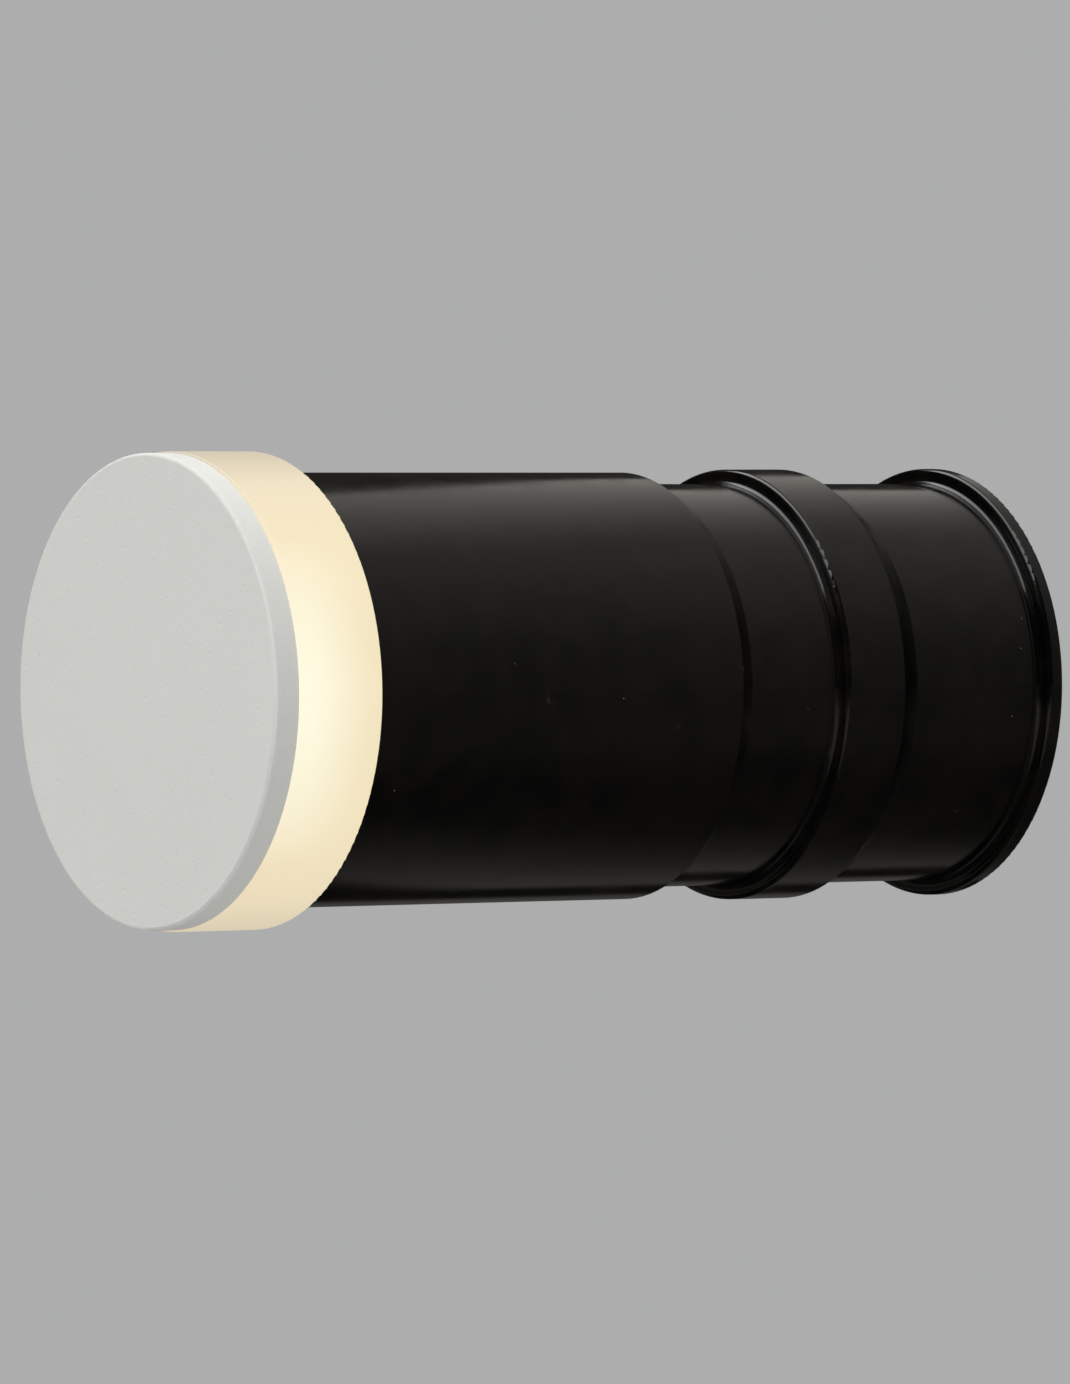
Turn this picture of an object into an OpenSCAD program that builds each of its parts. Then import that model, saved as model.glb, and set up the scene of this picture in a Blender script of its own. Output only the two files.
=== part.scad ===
// Recessed wall step light. A round glowing head sits on a lamp insert, and the insert slides
// into a two-part recess sleeve. The lamp axis is Y: the wall face is the plane y = 0, the head
// stands out of it towards -Y, and the sleeve goes into the wall towards +Y. Z is up.

/* [Head] */
// How far the head projects from the wall
head_h = 18.4; // [16:0.1:26]
// How far the head overhangs the barrel all round
head_overhang = 3.1; // [2.4:0.1:6]
// Depth of the cap's side
cap_h = 4; // [3.2:0.1:6]
// Thickness of the cap's face
cap_face_t = 2; // [1.4:0.1:2.6]
// Width of the cap's rim behind its face
cap_rim = 1.6; // [1.2:0.1:1.9]
// How far the cap's side stands inside the diffuser's side
cap_inset = 0.25; // [0.1:0.05:0.5]
// Rounding of the cap's front edge
cap_edge_r = 0.5; // [0.2:0.1:1]
// Wall of the opal diffuser ring
diffuser_wall = 3; // [2.6:0.1:3.6]
// Height of the diffuser's lip inside the cap
lip_h = 1.2; // [0.8:0.1:1.4]
// Width of the diffuser's inner ledge
ledge_w = 1.9; // [1.5:0.1:2.5]
// Thickness of the diffuser's inner ledge
ledge_t = 1.5; // [1:0.1:2]
// Rounding of the diffuser's two outer edges
diffuser_edge_r = 0.4; // [0.2:0.1:0.6]

/* [Recess sleeve] */
// Outside diameter of the barrel
barrel_d = 64.3; // [58:0.1:80]
// Length of the barrel
barrel_l = 66.3; // [50:0.1:100]
// Wall of both sleeves
sleeve_wall = 2.05; // [1.7:0.05:2.6]
// Radial drop from the barrel to the neck
step_h = 1.75; // [1:0.05:3]
// Length of the slope from the barrel to the neck
step_l = 2.9; // [1.5:0.1:6]
// Length of the neck that shows
neck_l = 15.9; // [8:0.1:30]
// Thickness of the stop flange at the neck's end
stop_t = 2.6; // [2:0.1:4]
// Length of the collar with the stop flange
collar_l = 10.6; // [9:0.1:16]
// Wall of the collar's socket
collar_wall = 2.15; // [2:0.05:3]
// Length of the taper behind the collar
taper_l = 3.9; // [2:0.1:6]
// Length of the rear tube that shows
rear_tube_l = 23.1; // [18:0.1:40]
// Height of the rear flange above the tube
flange_h = 2.3; // [2:0.1:3]
// Thickness of the rear flange
flange_t = 2.6; // [2.2:0.1:4]
// Hollow fillet at the root of both flanges
root_r = 1.1; // [0.4:0.1:1.2]
// Rounding of the flanges' front edges
edge_r = 0.8; // [0.3:0.1:0.9]
// Rounding of the rear rim
rim_r = 0.4; // [0.2:0.1:0.8]
// Diameter of the moulding gate's mark on the barrel's side
gate_d = 2.4; // [1.6:0.1:3]
// Depth of this mark
gate_depth = 0.15; // [0.1:0.05:0.3]
// Lead-in slope at the spigot's end
lead_in = 0.8; // [0.4:0.1:1.2]

/* [End cap] */
// Thickness of the plate that sits in the rear flange
end_plate_t = 1.6; // [1.2:0.1:2]
// Width of the ledge that the plate sits on
end_ledge_w = 1.7; // [1.2:0.1:2.2]
// Thickness of the plug's floor under the plate
plug_floor_t = 2.4; // [2.2:0.1:3.5]
// Length of the plug's skirt
skirt_l = 8; // [7:0.1:10]
// Wall of the plug's skirt
skirt_wall = 2; // [1.6:0.1:2.4]
// Number of slits that make the skirt springy
slit_count = 6; // [4:1:8]
// Width of each slit
slit_w = 1.6; // [1:0.1:3]
// Length of each slit
slit_l = 5.2; // [4:0.1:5.8]
// Height of the skirt's snap bead
snap_h = 0.35; // [0.2:0.05:0.5]
// Width of the snap bead
snap_w = 1.6; // [1.2:0.1:2.4]
// Number of ribs on the plug's floor
rib_count = 6; // [3:1:10]
// Thickness of these ribs
rib_t = 1.6; // [1:0.1:2.4]
// Height of these ribs
rib_h = 2.5; // [1.5:0.1:3.5]
// Depth of the dished ring on the plate's outside
dish_depth = 0.6; // [0.3:0.1:0.9]

/* [Cable gland] */
// Diameter of the cable that the seal takes
cable_d = 7.5; // [6:0.1:8.4]
// Outside diameter of the gland's thread
gland_d = 16; // [15:0.1:18]
// Bore through the gland's body and nut
gland_bore_d = 9.2; // [8.6:0.1:10]
// Outside diameter of the rubber seal
gland_seal_d = 12; // [11.4:0.1:12.4]
// Length of the rubber seal
gland_seal_l = 8; // [6:0.1:9]
// Width across the flats of the gland's body
gland_flats = 20; // [19:0.1:22]
// Thickness of the gland's hexagon
gland_hex_t = 4; // [3:0.1:6]
// Width across the flats of the dome nut
dome_flats = 18; // [17.6:0.1:20]
// Length of the dome nut
dome_l = 9.6; // [9:0.1:12]
// Rounding of the dome nut's end
dome_r = 2.4; // [1:0.1:3]
// Width across the flats of the locknut
locknut_flats = 22; // [20:0.1:24]
// Thickness of the locknut
locknut_t = 3.5; // [2.5:0.1:4]
// Thickness of the flat washer under the gland
washer_t = 1; // [0.6:0.1:2]

/* [Light engine] */
// Thickness of the foam gasket on the sleeve's rim
sleeve_gasket_t = 1.5; // [1:0.1:2.5]
// Thickness of the gasket behind the diffuser's ledge
diffuser_gasket_t = 1; // [0.6:0.1:1.5]
// Thickness of the board that carries the LEDs
board_t = 1.6; // [1:0.1:2]
// Number of LEDs
led_count = 12; // [6:1:24]
// Width of an LED along the ring
led_w = 3.5; // [2:0.1:4]
// Width of an LED across the ring
led_d = 2.8; // [2:0.1:4]
// Height of an LED
led_h = 0.7; // [0.5:0.1:1.2]
// Distance from the board's edge to the LEDs' centres
led_edge = 4.5; // [3:0.1:6]
// Wall of the reflector
reflector_t = 1.2; // [0.8:0.1:1.6]
// Outside radius of the reflector's foot
reflector_foot_r = 7.2; // [6:0.1:9]
// Height of the reflector's foot above the board
reflector_foot_h = 2.4; // [1.5:0.1:3.5]
// Radius of the ring of the cap's screw posts
post_ring_r = 15.5; // [14:0.1:16.4]
// Radius of a screw post
post_r = 3.2; // [2.6:0.1:3.6]

/* [Heat sink] */
// Thickness of the flange inside the diffuser
base_flange_t = 2.5; // [1.5:0.1:3.5]
// Thickness of the heat sink's base
base_t = 8; // [6:0.1:10]
// Length of the fins
fin_l = 26; // [22:0.1:34]
// Height of the fins
fin_h = 4.5; // [3:0.1:5.4]
// Thickness of a fin
fin_t = 1.4; // [1:0.1:1.8]
// Number of fins between two springs
fins_per_side = 10; // [5:1:11]
// Slope at the fins' rear ends
fin_slope = 3; // [1:0.1:5]
// Wall of the heat sink's tube
sink_wall = 3.5; // [2.5:0.1:4]
// Length of the screw lugs inside the tube
lug_l = 9; // [8:0.1:12]
// Radius of a screw lug
lug_r = 3.6; // [3:0.1:4]

/* [Leaf springs] */
// Thickness of the spring strip
spring_t = 0.5; // [0.4:0.05:0.8]
// Width of the spring strip
spring_w = 8; // [6:0.1:10]
// Length of the foot that is screwed down
spring_foot_l = 8; // [7.4:0.1:9]
// Length of the bow
spring_bow_l = 13; // [11:0.1:13.6]
// Height of the flat pad under the foot
pad_h = 0.7; // [0.4:0.1:1.2]
// Bare pad on each side of the strip
pad_edge = 2; // [1:0.1:2.6]

/* [Driver] */
// Length of the driver's housing
housing_l = 38; // [36:0.1:50]
// Wall of the driver's housing
housing_wall = 1.8; // [1.4:0.1:2.4]
// Thickness of the housing's front wall
housing_front_t = 2.2; // [1.6:0.1:3]
// Thickness of the cover's outer plate
cover_t = 2.6; // [2:0.1:4]
// Thickness of the cover's plug inside the housing
cover_plug_t = 2.4; // [2.2:0.1:3.5]
// Rounding of the housing's and the cover's outer edges
driver_edge_r = 0.8; // [0.4:0.1:1.2]
// Thickness of the driver's board
driver_board_t = 1.6; // [1:0.1:2]
// Distance between the two supply leads
supply_pitch = 10; // [9:0.1:11]
// Distance between the two LED leads
led_lead_pitch = 3.2; // [2.6:0.1:3.6]
// Diameter of a lead
lead_d = 1.3; // [1:0.1:1.6]
// Height of the leads' centres above the lamp axis
lead_z = -1.6; // [-2.5:0.1:-1]

/* [Terminals] */
// Width of the shelf behind the cover
shelf_w = 26; // [25:0.1:32]
// Length of the shelf behind the cover
shelf_l = 25.4; // [25:0.1:27]
// Thickness of the shelf
shelf_t = 2.2; // [1.6:0.1:3]
// Width of the terminal block
block_w = 22; // [20:0.1:24]
// Length of the terminal block
block_l = 14; // [13:0.1:15]
// Height of the terminal block
block_h = 12.5; // [12:0.1:14]
// Height of the terminal tubes' centres above the shelf
block_entry_z = 5.5; // [5:0.1:6]
// Thickness of the cable clamp's bar
clamp_t = 2.4; // [2:0.1:3]
// Width of the cable clamp's bar
clamp_w = 5; // [4.6:0.1:5.4]

/* [Screws] */
// Thread radius of the larger screws
screw_r = 1.5; // [1.3:0.05:1.6]
// Head radius of the larger screws
screw_head_r = 2.75; // [2.4:0.05:2.8]
// Head height of the larger screws
screw_head_h = 2; // [1.6:0.1:2.2]
// Thread radius of the smaller screws
small_r = 1.25; // [1:0.05:1.4]
// Head radius of the smaller screws
small_head_r = 2.3; // [2:0.05:2.4]
// Head height of the smaller screws
small_head_h = 1.6; // [1.2:0.1:1.8]
// Reach of the driver recess, as a share of the head's radius
recess_reach = 0.5; // [0.4:0.05:0.6]
// Width of the recess, as a share of the head's radius
recess_w = 0.26; // [0.2:0.02:0.36]
// Depth of the recess, as a share of the head's height
recess_depth_share = 0.55; // [0.4:0.05:0.7]

/* [Fits] */
// Clearance between fixed parts that fit into each other
part_gap = 0.1; // [0.05:0.01:0.15]
// Clearance round a screw's thread
thread_gap = 0.05; // [0.02:0.01:0.1]
// Clearance between the collar's socket and the spigot
joint_gap = 0.05; // [0.02:0.01:0.1]
// Clearance between the heat sink's base and the barrel's bore
pilot_gap = 0.3; // [0.25:0.01:0.5]
// Clearance between the fin tips and the barrel's bore
fin_gap = 1.1; // [0.8:0.1:1.6]
// Clearance between the springs and the barrel's bore
spring_gap = 0.25; // [0.2:0.01:0.4]
// Clearance between the driver's housing and the neck's bore
housing_gap = 0.6; // [0.4:0.1:1.2]
// Width of a seal ring before it is squeezed
seal_d = 1.3; // [1.2:0.05:1.4]
// Depth of a seal's groove
seal_depth = 1; // [0.9:0.05:1.1]

/* [Hidden] */
$fn = 96;
cut = 1;
tip_space = 0.5;
crown = 0.6;
nut_face = 0.48;
nut_reach = 0.6;
nut_slope = 20;

// Sleeve radii
barrel_r = barrel_d / 2;
barrel_bore = barrel_r - sleeve_wall;
neck_r = barrel_r - step_h;
neck_bore = neck_r - sleeve_wall;
socket_r = neck_r + joint_gap;
collar_r = socket_r + collar_wall;
flange_r = neck_r + flange_h;

// Sleeve stations along the axis, from the wall face inwards
neck_start = barrel_l + step_l;
neck_end = neck_start + neck_l;
stop_end = neck_end + stop_t;
collar_end = neck_end + collar_l;
taper_end = collar_end + taper_l;
flange_front = taper_end + rear_tube_l;
recess_depth = flange_front + flange_t;
spigot_end = collar_end - part_gap;
seal_w = seal_d + 2 * part_gap;
joint_seal_y = (stop_end + spigot_end - lead_in) / 2;
gate_y = 32;
gate_tilt = 1.6;
gate_ball_r = (pow(gate_d / 2, 2) + pow(gate_depth, 2)) / (2 * gate_depth);

// End cap stations and radii
end_seat_r = neck_bore + end_ledge_w;
plug_r = neck_bore - part_gap;
plate_front = recess_depth - end_plate_t;
plug_floor = plate_front - plug_floor_t;
skirt_front = plug_floor - skirt_l;
skirt_bore = plug_r - skirt_wall;
snap_y = skirt_front + snap_w;
end_seal_y = (plug_floor + plate_front) / 2;

// Gland stations and radii
gland_r = gland_d / 2;
gland_bore = gland_bore_d / 2;
washer_end = recess_depth + washer_t;
hex_end = washer_end + gland_hex_t;
locknut_front = plug_floor - locknut_t;
thread_overrun = 1.2;
thread_front = locknut_front - thread_overrun;
seal_sink = 1;
seal_seat = hex_end - seal_sink;
seal_end = seal_seat + gland_seal_l;
spigot_wall = 1.4;
gland_spigot_r = gland_seal_d / 2 + part_gap + spigot_wall;
nut_squeeze = 1;
gland_spigot_end = seal_end - nut_squeeze;
nut_front = hex_end + part_gap;
nut_end = nut_front + dome_l;
locknut_r = locknut_flats / 2 / cos(30);
dish_margin = 2;
dish_in_r = gland_flats / 2 / cos(30) + dish_margin;
dish_out_r = end_seat_r - 1.5 * dish_margin;
rib_space = 0.6;

// Head radii and stations
diffuser_r = barrel_r + head_overhang;
diffuser_bore = diffuser_r - diffuser_wall;
cap_r = diffuser_r - cap_inset;
cap_cavity_r = cap_r - cap_rim;
cap_front = -head_h;
cap_back = cap_front + cap_h;
ceiling = cap_front + cap_face_t;
lip_front = cap_back - lip_h;
flange_back = -sleeve_gasket_t;
base_front = flange_back - base_flange_t;
ledge_back = base_front - diffuser_gasket_t;
ledge_front = ledge_back - ledge_t;
ledge_r = diffuser_bore - ledge_w;
base_flange_r = diffuser_bore - part_gap;
board_front = base_front - board_t;
board_edge_gap = 0.4;
board_r = ledge_r - part_gap - board_edge_gap;
led_ring_r = board_r - led_edge;
reflector_rim_r = diffuser_bore - part_gap;

// Heat sink radii and stations
pilot_r = barrel_bore - pilot_gap;
fin_tip_r = barrel_bore - fin_gap;
sink_r = fin_tip_r - fin_h;
sink_bore = sink_r - sink_wall;
base_back = base_front + base_t;
sink_end = base_back + fin_l;
lug_sink = 0.4;
lug_ring_r = sink_bore - lug_r + lug_sink;
head_sink = 1;
head_seat = base_back - screw_head_h - head_sink;
fin_pitch = 8;
spring_count = 3;
post_count = 3;
spring_phase = 90;
lead_hole_r = 4;
grommet_wall = 1;

// Spring strip, in the plane of its centre line
pad_r = sink_r + pad_h;
foot_r = pad_r + spring_t / 2;
crest_r = sqrt(pow(barrel_bore - spring_gap, 2) - pow(spring_w / 2, 2)) - spring_t / 2;
foot_margin = 1.5;
foot_end = sink_end - foot_margin;
foot_start = foot_end - spring_foot_l;
bow_steps = 16;
spring_screw_y = (foot_start + foot_end) / 2;

// Driver stations and radii
housing_r = neck_bore - housing_gap;
housing_bore = housing_r - housing_wall;
housing_end = sink_end + housing_l;
housing_floor = sink_end + housing_front_t;
plug_front = housing_end - cover_plug_t;
cover_back = housing_end + cover_t;
cover_seal_y = (plug_front + housing_end) / 2;
post_skin = 0.6;
cover_ring_r = housing_bore - part_gap - seal_depth - small_r - post_skin;
post_sink = 0.3;
cover_post_r = housing_bore - cover_ring_r + post_sink;
cover_phase = -90;
lead_r = lead_d / 2;
board_top = lead_z - lead_r;
board_bottom = board_top - driver_board_t;
board_play = 0.5;
board_start = housing_floor + screw_head_h + board_play;
board_end = plug_front - board_play;
board_half_w = sqrt(pow(housing_bore, 2) - pow(board_bottom, 2)) - board_play;
rail_t = 1.2;
rail_w = 2;
solder_l = 4;
led_lead_end = board_start + solder_l;
supply_lead_start = board_end - solder_l;

// Terminal stations
shelf_top = lead_z - block_entry_z;
shelf_bottom = shelf_top - shelf_t;
shelf_end = cover_back + shelf_l;
block_space = 3.4;
block_start = cover_back + block_space;
block_end = block_start + block_l;
block_top = shelf_top + block_h;
tube_r = 2.4;
tube_wall = 0.8;
tube_end_gap = 1.2;
hood_wall = 1.2;
lead_bite = 5;
hood_h = 3;
terminal_screw_inset = 3.6;
terminal_screw_sink = 2.4;
terminal_screw_seat = lead_z + lead_r + tube_r + part_gap;
clamp_margin = 0.6;
clamp_start = shelf_end - clamp_w - clamp_margin;
clamp_post_x = 8;
clamp_post_r = 2.8;
clamp_post_h = 3.4;
clamp_post_top = shelf_top + clamp_post_h;
clamp_end_margin = 3.2;

// A profile turned round the lamp axis: x is the radius, y the distance behind the wall face
module turned() {
    rotate([-90, 0, 0])
        rotate_extrude()
            children();
}

// A rectangle of such a profile
module band(r_in, r_out, y0, y1) {
    translate([r_in, y0])
        square([r_out - r_in, y1 - y0]);
}

module ring(r_in, r_out, y0, y1) {
    turned()
        band(r_in, r_out, y0, y1);
}

// A round bar along the lamp axis, from y0 to y1
module rod(r, y0, y1) {
    translate([0, y0, 0])
        rotate([-90, 0, 0])
            cylinder(r = r, h = y1 - y0);
}

// A hexagonal bar along the lamp axis, given its width across the flats
module hex_rod(flats, y0, y1) {
    translate([0, y0, 0])
        rotate([-90, 0, 0])
            cylinder(r = flats / 2 / cos(30), h = y1 - y0, $fn = 6);
}

// A block given by its lowest and highest corners
module block(low, high) {
    translate(low)
        cube(high - low);
}

// Copies spread evenly round the lamp axis
module around(count, phase = 0) {
    for (i = [0 : count - 1])
        rotate([0, phase + i * 360 / count, 0])
            children();
}

// A hexagon nut's outside along the lamp axis, with its corners turned off at both ends
module hex_nut(flats, y0, y1) {
    drop = flats * (nut_reach - nut_face) * tan(nut_slope);
    intersection() {
        hex_rod(flats, y0, y1);
        turned()
            polygon([
                [0, y0],
                [flats * nut_face, y0],
                [flats * nut_reach, y0 + drop],
                [flats * nut_reach, y1 - drop],
                [flats * nut_face, y1],
                [0, y1]
            ]);
    }
}

// A pan head screw: the head stands on the plane z = 0 and the thread goes down from there.
// Two arms sunk into the head make a cross for the driver, one arm makes a slot
module screw(thread, head, head_t, length, arms = 2) {
    reach = arms == 1 ? head + cut : head * recess_reach;
    difference() {
        rotate_extrude()
            polygon([
                [0, -length],
                [thread * crown, -length],
                [thread, -length + thread * (1 - crown)],
                [thread, 0],
                [head, 0],
                [head, head_t / 2],
                [head * crown, head_t],
                [0, head_t]
            ]);
        for (i = [0 : arms - 1])
            translate([0, 0, head_t])
                rotate(i * 90)
                    cube([2 * reach, head * recess_w, 2 * head_t * recess_depth_share],
                         center = true);
    }
}

// Such a screw along the lamp axis: its head rests on the plane y = seat, on the side that
// the direction dir points to, and its thread runs the other way to y = tip
module screw_y(thread, head, head_t, seat, tip, dir) {
    translate([0, seat, 0])
        rotate([-90 * dir, 0, 0])
            screw(thread, head, head_t, abs(seat - tip));
}

// Such a screw that points down, with its head on the plane z = seat
module screw_z(thread, head, head_t, seat, tip, arms = 2) {
    translate([0, 0, seat])
        screw(thread, head, head_t, seat - tip, arms);
}

// What is cut off a profile to round its corner: out points to the side where the air is
module rounding(corner, r, out) {
    centre = corner - r * out;
    far = corner + cut * out;
    difference() {
        translate([min(centre[0], far[0]), min(centre[1], far[1])])
            square(r + cut);
        translate(centre)
            circle(r = r);
    }
}

// Outline of a flange on a tube: hollow fillet at its root, rounded front edge
module flange_profile(r_root, r_out, y0, y1) {
    difference() {
        union() {
            band(r_root - sleeve_wall / 2, r_out, y0, y1);
            band(r_root - sleeve_wall / 2, r_root + root_r, y0 - root_r, y0);
        }
        translate([r_root + root_r, y0 - root_r])
            circle(r = root_r);
        rounding([r_out, y0], edge_r, [1, -1]);
    }
}

// A seal ring squeezed between its groove's floor and the wall outside it
module seal_ring(r_floor, r_wall, y) {
    turned()
        intersection() {
            translate([(r_floor + r_wall) / 2, y])
                circle(d = seal_d);
            band(r_floor, r_wall, y - seal_d, y + seal_d);
        }
}

module front_sleeve() {
    color("#1b1a19")
        difference() {
            turned()
                difference() {
                    union() {
                        polygon([
                            [barrel_bore, 0],
                            [barrel_r, 0],
                            [barrel_r, barrel_l],
                            [neck_r, neck_start],
                            [neck_r, spigot_end - lead_in],
                            [neck_r - lead_in, spigot_end],
                            [neck_bore, spigot_end],
                            [neck_bore, neck_start],
                            [barrel_bore, barrel_l]
                        ]);
                        flange_profile(neck_r, collar_r, neck_end, stop_end);
                    }
                    band(neck_r - seal_depth, neck_r + cut,
                         joint_seal_y - seal_w / 2, joint_seal_y + seal_w / 2);
                }
            rotate([0, gate_tilt, 0])
                translate([barrel_r + gate_ball_r - gate_depth, gate_y, 0])
                    sphere(r = gate_ball_r);
        }
}

module joint_seal() {
    color("#2a2a2a")
        seal_ring(neck_r - seal_depth, socket_r, joint_seal_y);
}

module rear_sleeve() {
    color("#1b1a19")
        turned()
            difference() {
                union() {
                    polygon([
                        [socket_r, stop_end],
                        [collar_r, stop_end],
                        [collar_r, collar_end],
                        [neck_r, taper_end],
                        [neck_r, recess_depth],
                        [neck_bore, recess_depth],
                        [neck_bore, taper_end],
                        [socket_r, collar_end]
                    ]);
                    flange_profile(neck_r, flange_r, flange_front, recess_depth);
                }
                band(neck_bore - cut, end_seat_r, plate_front, recess_depth + cut);
                band(neck_bore - cut, neck_bore + snap_h,
                     snap_y - snap_w / 2 - part_gap, snap_y + snap_w / 2 + part_gap);
                rounding([flange_r, recess_depth], rim_r, [1, 1]);
            }
}

module end_cap() {
    color("#211f1e")
        difference() {
            union() {
                turned()
                    difference() {
                        union() {
                            band(0, end_seat_r - part_gap, plate_front, recess_depth);
                            band(0, plug_r, plug_floor, plate_front);
                            band(skirt_bore, plug_r, skirt_front, plug_floor);
                            polygon([
                                [plug_r - cut, snap_y - snap_w / 2],
                                [plug_r, snap_y - snap_w / 2],
                                [plug_r + snap_h, snap_y - snap_w / 8],
                                [plug_r + snap_h, snap_y + snap_w / 8],
                                [plug_r, snap_y + snap_w / 2],
                                [plug_r - cut, snap_y + snap_w / 2]
                            ]);
                        }
                        band(plug_r - seal_depth, plug_r + cut,
                             end_seal_y - seal_w / 2, end_seal_y + seal_w / 2);
                        band(dish_in_r, dish_out_r,
                             recess_depth - dish_depth, recess_depth + cut);
                        rounding([end_seat_r - part_gap, recess_depth], rim_r, [1, 1]);
                    }
                around(rib_count)
                    block([locknut_r + rib_space, plug_floor - rib_h, -rib_t / 2],
                          [skirt_bore + skirt_wall / 2, plug_floor + cut, rib_t / 2]);
            }
            around(slit_count, 180 / slit_count)
                block([skirt_bore - cut, skirt_front - cut, -slit_w / 2],
                      [plug_r + snap_h + cut, skirt_front + slit_l, slit_w / 2]);
            rod(gland_r + part_gap, plug_floor - cut, recess_depth + cut);
        }
}

module end_seal() {
    color("#2a2a2a")
        seal_ring(plug_r - seal_depth, neck_bore, end_seal_y);
}

module gland_washer() {
    color("#2a2a2a")
        ring(gland_r + part_gap, gland_flats / 2, recess_depth, washer_end);
}

module gland_body() {
    color("#242322")
        difference() {
            union() {
                rod(gland_r, thread_front, washer_end + cut);
                hex_nut(gland_flats, washer_end, hex_end);
                rod(gland_spigot_r, hex_end - cut, gland_spigot_end);
            }
            rod(gland_bore, thread_front - cut, gland_spigot_end + cut);
            rod(gland_seal_d / 2 + part_gap, seal_seat, gland_spigot_end + cut);
        }
}

module gland_seal() {
    color("#3a3a3a")
        ring(cable_d / 2, gland_seal_d / 2, seal_seat, seal_end);
}

module gland_nut() {
    color("#242322")
        difference() {
            intersection() {
                hex_rod(dome_flats, nut_front, nut_end);
                turned()
                    union() {
                        band(0, dome_flats, nut_front, nut_end - dome_r);
                        band(0, dome_flats / 2 - dome_r, nut_front, nut_end);
                        translate([dome_flats / 2 - dome_r, nut_end - dome_r])
                            circle(r = dome_r);
                    }
            }
            rod(gland_bore, nut_front - cut, nut_end + cut);
            turned()
                polygon([
                    [0, nut_front - cut],
                    [gland_spigot_r + part_gap, nut_front - cut],
                    [gland_spigot_r + part_gap, gland_spigot_end + part_gap],
                    [gland_seal_d / 2 + part_gap, seal_end],
                    [0, seal_end]
                ]);
        }
}

module gland_locknut() {
    color("#242322")
        difference() {
            hex_nut(locknut_flats, locknut_front, plug_floor);
            rod(gland_r + thread_gap, locknut_front - cut, plug_floor + cut);
        }
}

module front_cap() {
    color("#f1f0ec")
        difference() {
            union() {
                turned()
                    difference() {
                        band(0, cap_r, cap_front, cap_back);
                        rounding([cap_r, cap_front], cap_edge_r, [1, -1]);
                        band(-cut, cap_cavity_r, ceiling, cap_back + cut);
                    }
                around(post_count)
                    translate([post_ring_r, 0, 0])
                        rod(post_r, ceiling - cap_face_t / 2, base_front);
            }
            around(post_count)
                translate([post_ring_r, 0, 0])
                    rod(screw_r + thread_gap, cap_screw_tip - tip_space, base_front + cut);
        }
}

module cap_gasket() {
    color("#dcdcd6")
        ring(diffuser_bore, cap_cavity_r - part_gap, ceiling, lip_front);
}

module diffuser() {
    color("#fbeecb")
        turned()
            difference() {
                polygon([
                    [diffuser_bore, 0],
                    [diffuser_r, 0],
                    [diffuser_r, cap_back],
                    [cap_cavity_r - part_gap, cap_back],
                    [cap_cavity_r - part_gap, lip_front],
                    [diffuser_bore, lip_front],
                    [diffuser_bore, ledge_front - ledge_w / 2],
                    [ledge_r, ledge_front],
                    [ledge_r, ledge_back],
                    [diffuser_bore, ledge_back]
                ]);
                rounding([diffuser_r, cap_back], diffuser_edge_r, [1, -1]);
                rounding([diffuser_r, 0], diffuser_edge_r, [1, 1]);
            }
}

module diffuser_gasket() {
    color("#dcdcd6")
        ring(ledge_r + part_gap, diffuser_bore, ledge_back, base_front);
}

// The reflector's lower face rises like a quarter of a sine wave from its foot to its rim
function reflector_y(s) =
    (board_front - reflector_foot_h)
    + (ceiling + reflector_t - board_front + reflector_foot_h) * sin(90 * s);
function reflector_r(s) = reflector_foot_r + (reflector_rim_r - reflector_foot_r) * s;
reflector_steps = 12;

module reflector() {
    color("#f7f7f4")
        difference() {
            turned()
                polygon(concat(
                    [[reflector_foot_r - reflector_t, board_front],
                     [reflector_foot_r, board_front]],
                    [for (i = [0 : reflector_steps])
                        [reflector_r(i / reflector_steps), reflector_y(i / reflector_steps)]],
                    [for (i = [reflector_steps : -1 : 0])
                        [reflector_r(i / reflector_steps),
                         reflector_y(i / reflector_steps) - reflector_t]],
                    [[reflector_foot_r - reflector_t, reflector_y(0) - reflector_t]]
                ));
            around(post_count)
                translate([post_ring_r, 0, 0])
                    rod(post_r + part_gap, ceiling - cut, board_front);
        }
}

module led_board() {
    color("#f4f4f0")
        difference() {
            rod(board_r, board_front, base_front);
            around(post_count)
                translate([post_ring_r, 0, 0])
                    rod(post_r + part_gap, board_front - cut, base_front + cut);
            around(post_count, 180 / post_count)
                translate([post_ring_r, 0, 0])
                    rod(screw_r + part_gap, board_front - cut, base_front + cut);
            led_lead_places()
                rod(lead_r + part_gap, board_front - cut, base_front + cut);
        }
}

module led_chips() {
    color("#f2d36b")
        around(led_count, 180 / led_count)
            block([led_ring_r - led_d / 2, board_front - led_h, -led_w / 2],
                  [led_ring_r + led_d / 2, board_front, led_w / 2]);
}

board_screw_bite = 4.5;
board_screw_tip = base_front + board_screw_bite;
cap_screw_bite = 6;
cap_screw_tip = base_front - cap_screw_bite;

module board_screws() {
    color("#b9b9b7")
        around(post_count, 180 / post_count)
            translate([post_ring_r, 0, 0])
                screw_y(screw_r, screw_head_r, screw_head_h, board_front, board_screw_tip, -1);
}

module cap_screws() {
    color("#b9b9b7")
        around(post_count)
            translate([post_ring_r, 0, 0])
                screw_y(screw_r, screw_head_r, screw_head_h, head_seat, cap_screw_tip, 1);
}

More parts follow.
